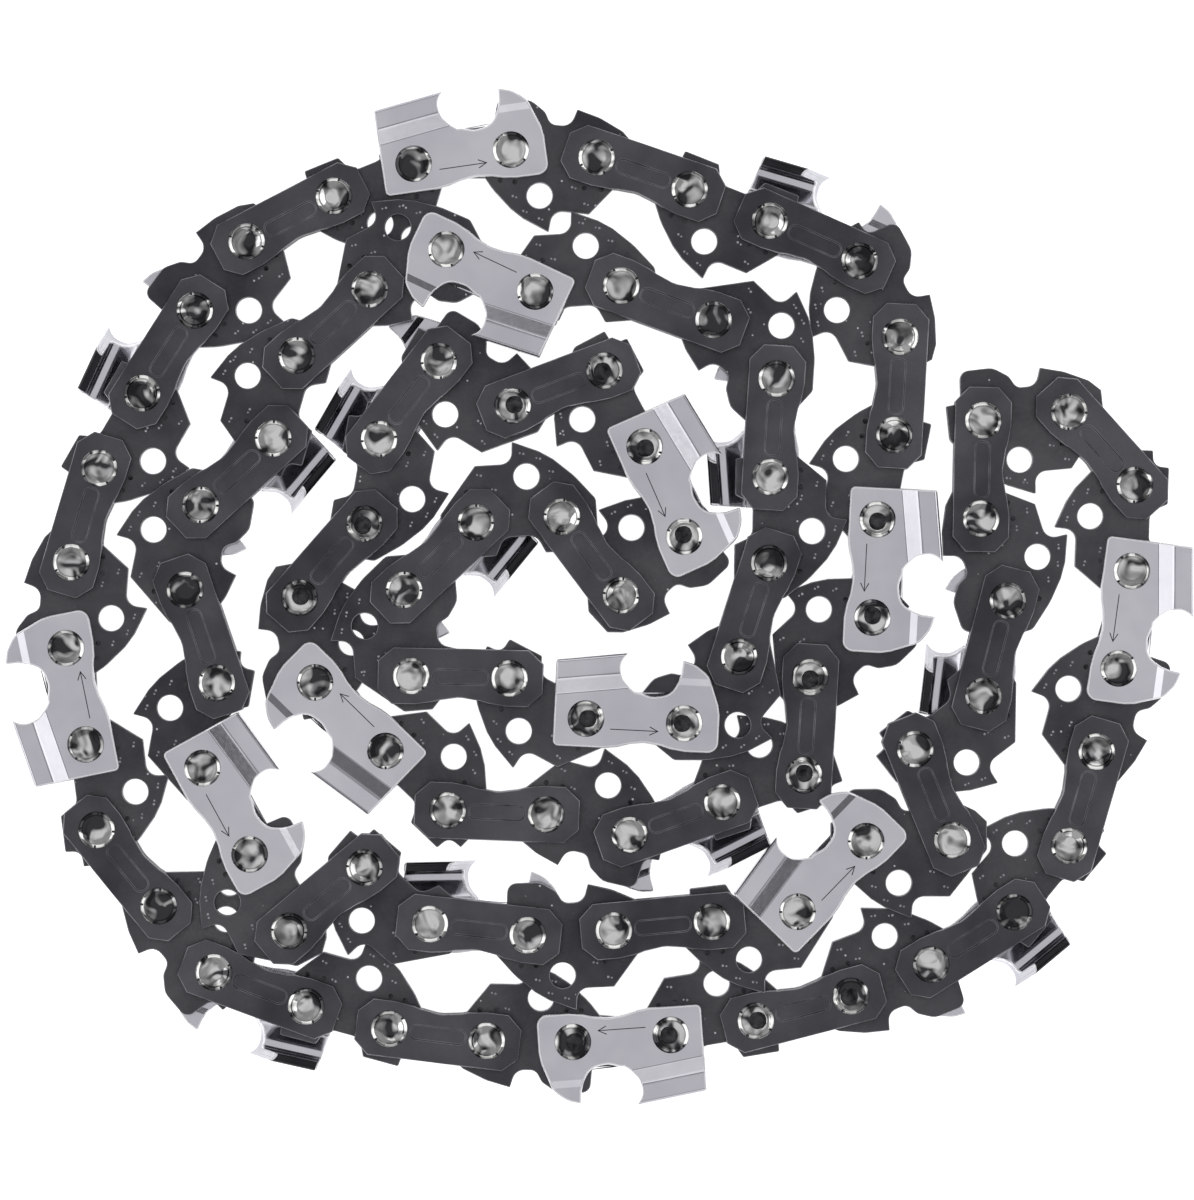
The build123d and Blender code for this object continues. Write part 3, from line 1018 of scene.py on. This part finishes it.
@dataclass
class Rivets:
    """Rivets: a shank through the plates and two rolled heads with a raised ring. Lengths in mm."""

    heights: PlateSizes
    shank_radius: float = 1.7
    head_radius: float = 1.86
    shoulder: float = 0.07
    ring: tuple[Pair, ...] = ((0.05, 0.06), (0.12, 0.1), (0.14, 0.07), (0.04, -0.04))
    pit_radius: float = 0.91
    middle_radius: float = 0.1
    middle_shift: float = 0.42
    middle_reach: float = 1.25
    notch_count: int = 4
    notch_ends: Pair = (1.56, 2.0)
    notch_half_width: float = 0.11
    notch_height: float = 0.06
    sharp_angle: float = 34.0
    pitted_links: tuple[int, ...] = (16, 20, 21, 23, 27, 28, 40, 41)
    crowned_links: tuple[int, ...] = (7, 15, 19, 29, 30, 33, 34, 38, 39, 43)

    def end_of(self, number: int) -> RivetEnd:
        """Kind of rivet end on an outer link, counted from 1 at the joint."""
        pitted, crowned = number in self.pitted_links, number in self.crowned_links
        return RivetEnd.PITTED if pitted else RivetEnd.CROWNED if crowned else RivetEnd.DOMED

    def build(self, end: RivetEnd) -> Piece:
        """Model one rivet in its own frame.

        Args:
            end: what the rolled ends look like.

        Returns:
            The pattern, in mm.
        """
        pin = cylinder(self.shank_radius, 2 * self.heights.strap_outside)
        pin.name = f"rivet_pattern_{end.name}"
        with editing(pin):
            bpy.ops.mesh.select_mode(type="FACE")
            bpy.ops.mesh.select_all(action="DESELECT")
        for face in pin.data.polygons:
            face.select = abs(face.normal.z) > LEVEL
        grow = self.head_radius / self.shank_radius
        with editing(pin):
            bpy.ops.mesh.extrude_region_move()
            bpy.ops.transform.resize(value=(grow, grow, 1), center_override=(0, 0, 0))
            for inwards, rise in ((0.0, self.shoulder),) + self.ring + end.value:
                bpy.ops.mesh.inset(thickness=inwards, depth=rise)
        return pin

    def notches(self) -> list[Piece]:
        """Nicks that the forming roll leaves round both heads.

        Returns:
            Tools for them, in mm.
        """
        tools = []
        near, far = self.notch_ends
        low = self.heights.strap_outside + self.notch_height
        for side in Side:
            for number in range(self.notch_count):
                turn = math.tau * (number + 0.5) / self.notch_count
                along = Vector((math.cos(turn), math.sin(turn)))
                across = Vector((-math.sin(turn), math.cos(turn)))
                ring = [
                    along * reach + across * (self.notch_half_width * way)
                    for reach, way in ((near, -1), (far, -1), (far, 1), (near, 1))]
                base = [Vector((point.x, point.y, side.value * low)) for point in ring]
                tool = prism("notch", base, Vector((0, 0, side.value * TOOL_OVER)))
                coat(tool, STAMPED)
                tools.append(tool)
        return tools

    def shift_middle(self, pin: Piece) -> None:
        """Push the middle of both ends off the axis, as the forming roll does.

        Args:
            pin: pattern of the rivet.
        """
        for face in pin.data.polygons:
            face.select = face.center.xy.length < self.middle_radius
        with editing(pin):
            bpy.ops.transform.translate(
                value=(self.middle_shift, 0, 0), use_proportional_edit=True,
                proportional_edit_falloff="SMOOTH", proportional_size=self.middle_reach)

    def dress(self, pin: Piece, end: RivetEnd) -> None:
        """Give a rivet its rolled steel with painted reflections, its forming nicks and, where it has one, a
        pit in painted shade.

        Args:
            pin: pattern of the rivet.
            end: what its ends look like.
        """
        # Rivets take the rolled finish, whose light and dark patches are painted reflections
        pit = coat(pin, ROLLED, PIT)
        # The middle of a pitted end is painted nearly black: painted shade and dark reflection in the pit
        for face in pin.data.polygons:
            if end is RivetEnd.PITTED and face.center.xy.length < self.pit_radius:
                face.material_index = pit
        self.shift_middle(pin)
        for tool in self.notches():
            combine(pin, tool, Turning.CUT)
        shade(pin, self.sharp_angle)


@dataclass
class Chain:
    """The chain: every kind of piece is modelled once as a pattern and laid along the coil."""

    lay: ChainLay
    heights: PlateSizes = field(default_factory=PlateSizes)
    patterns: list[Piece] = field(default_factory=list)

    def lay_drive_links(self) -> None:
        """Lay both kinds of drive link, which take turns."""
        links = DriveLinks(self.heights)
        drive = self.lay.drive
        for kind, places in ((TopEdge.BUMPER, drive[0::2]), (TopEdge.PLAIN, drive[1::2])):
            link = links.build(kind)
            links.dress(link)
            self.patterns.append(link)
            lay_copies([(link, place) for place in places], kind.value)

    def lay_straps(self) -> None:
        """Lay the tie straps, and the straps opposite the cutters."""
        straps = TieStraps(self.heights)
        upper, lower = straps.build(Side.UPPER), straps.build(Side.LOWER)
        for strap in (upper, lower):
            straps.dress(strap)
            self.patterns.append(strap)
        for place in self.lay.outer[TIES]:
            lay_copies([(upper, place), (lower, place)], place.node)
        opposite = [(lower, place) for place in self.lay.outer[LEFTS]]
        opposite += [(upper, place) for place in self.lay.outer[RIGHTS]]
        lay_copies(opposite, "cutter_straps")

    def lay_cutters(self) -> None:
        """Lay the left-hand and the right-hand cutters."""
        cutters = Cutters(self.heights)
        left = cutters.build()
        cutters.dress(left)
        right = cutters.mirrored(left)
        self.patterns += [left, right]
        for cutter, hand in ((left, LEFTS), (right, RIGHTS)):
            for place in self.lay.outer[hand]:
                lay_copies([(cutter, place)], place.node)

    def lay_rivets(self) -> None:
        """Lay both rivets of every outer link, the front one turned round."""
        rivets = Rivets(self.heights)
        pins = {end: rivets.build(end) for end in RivetEnd}
        for end, pin in pins.items():
            rivets.dress(pin, end)
            self.patterns.append(pin)
        laid = []
        for number, place in enumerate(self.lay.outer, 1):
            pin = pins[rivets.end_of(number)]
            laid += [(pin, place), (pin, LinkPlace(place.front, place.rear))]
        lay_copies(laid, "rivets")

    def build(self) -> None:
        """Lay all pieces and remove their patterns."""
        self.lay_drive_links()
        self.lay_straps()
        self.lay_cutters()
        self.lay_rivets()
        for pattern in self.patterns:
            bpy.data.objects.remove(pattern)


@dataclass
class Studio:
    """White floor, four soft lamps, a grey sky, and a camera straight above. Lengths in metres.

    A lamp is its azimuth in degrees, its width and its glow. A stop of the sky is a height and a grey.
    """

    camera_height: float = 0.9
    sensor_mm: float = 36.0
    near_clip: float = 0.05
    view_centre_mm: Pair = (-0.25, -0.35)
    subject_height: float = 0.0035
    floor_size: float = 6.0
    paper_tone: str = "#f6f6f6"
    paper_roughness: float = 0.9
    paper_gloss: float = 0.1
    glow_tone: str = "#ffffff"
    table_glow: float = 0.9
    light_distance: float = 1.5
    light_depth: float = 0.95
    light_elevation: float = 27.0
    lamps: tuple[tuple[float, float, float], ...] = (
        (0, 1.6, 1.35), (93, 0.95, 0.75), (182, 1.6, 1.3), (271, 0.95, 0.8))
    sky: tuple[Pair, ...] = (
        (0.0, 0.22), (0.2, 0.17), (0.36, 0.2), (0.45, 0.45), (0.6, 0.5),
        (0.76, 0.3), (0.86, 0.34), (0.93, 0.72), (0.985, 0.78), (1.0, 0.74))
    sky_blue: float = 1.02

    def build(self) -> None:
        """Add the floor, the lamps, the world and the camera."""
        self.floor()
        for azimuth, width, glow in self.lamps:
            self.lamp(azimuth, width, glow)
        self.world()
        self.camera()

    def floor(self) -> None:
        """White paper that glows a little, so that it stays white under the chain."""
        deselect()
        bpy.ops.mesh.primitive_plane_add(size=self.floor_size, location=(0, 0, 0))
        floor = bpy.context.object
        floor.name = "floor"
        paper = bpy.data.materials.new("white_paper")
        paper.use_nodes = True
        settings = {
            "Base Color": linear(self.paper_tone), "Roughness": self.paper_roughness,
            "Specular IOR Level": self.paper_gloss, "Emission Color": linear(self.glow_tone),
            "Emission Strength": self.table_glow}
        for name, value in settings.items():
            paper.node_tree.nodes["Principled BSDF"].inputs[name].default_value = value
        floor.data.materials.append(paper)

    def lamp(self, azimuth: float, width: float, glow: float) -> None:
        """One soft lamp, aimed at the chain.

        Args:
            azimuth: direction of the lamp in degrees.
            width: width of the lamp.
            glow: brightness of its face.
        """
        around, up = math.radians(azimuth), math.radians(self.light_elevation)
        place = self.light_distance * Vector(
            (math.cos(around) * math.cos(up), math.sin(around) * math.cos(up), math.sin(up)))
        deselect()
        bpy.ops.object.light_add(type="AREA", location=place)
        lamp = bpy.context.object
        lamp.rotation_euler = place.to_track_quat("Z", "Y").to_euler()
        lamp.data.shape = "RECTANGLE"
        lamp.data.size = width
        lamp.data.size_y = self.light_depth
        lamp.data.energy = glow * math.pi * width * self.light_depth

    def world(self) -> None:
        """Grey surroundings that change with height, which the metal mirrors."""
        world = bpy.data.worlds.new("studio")
        world.use_nodes = True
        tree = world.node_tree
        way = add_node(tree, "ShaderNodeTexCoord", {}, {}).outputs["Generated"]
        height = add_node(tree, "ShaderNodeSeparateXYZ", {}, {0: way}).outputs["Z"]
        ramp = add_node(tree, "ShaderNodeValToRGB", {}, {"Fac": height})
        stops = ramp.color_ramp.elements
        while len(stops) < len(self.sky):
            stops.new(0.5)
        for stop, (place, grey) in zip(stops, self.sky):
            stop.position = place
            stop.color = (grey, grey, grey * self.sky_blue, 1.0)
        tree.links.new(ramp.outputs["Color"], tree.nodes["Background"].inputs["Color"])
        bpy.context.scene.world = world
        bpy.context.scene.view_settings.view_transform = "Standard"

    def camera(self) -> None:
        """Camera straight above the coil, framed as the photograph is."""
        width = PHOTO_WIDTH_PX / PHOTO_PX_PER_MM * METRES_PER_MM
        across, along = self.view_centre_mm
        place = (across * METRES_PER_MM, along * METRES_PER_MM, self.camera_height)
        bpy.ops.object.camera_add(location=place, rotation=(0, 0, 0))
        camera = bpy.context.object
        camera.data.sensor_fit = "HORIZONTAL"
        camera.data.sensor_width = self.sensor_mm
        camera.data.lens = self.sensor_mm * (self.camera_height - self.subject_height) / width
        camera.data.clip_start = self.near_clip
        camera.data.dof.use_dof = False
        bpy.context.scene.camera = camera


def main() -> None:
    """Build the chain and the studio, and note the size of every laid piece of the chain."""
    logging.basicConfig(level=logging.INFO, format="%(message)s")
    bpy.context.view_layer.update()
    lay = ChainLay()
    lay.read()
    Chain(lay).build()
    Studio().build()


if __name__ == "__main__":
    main()
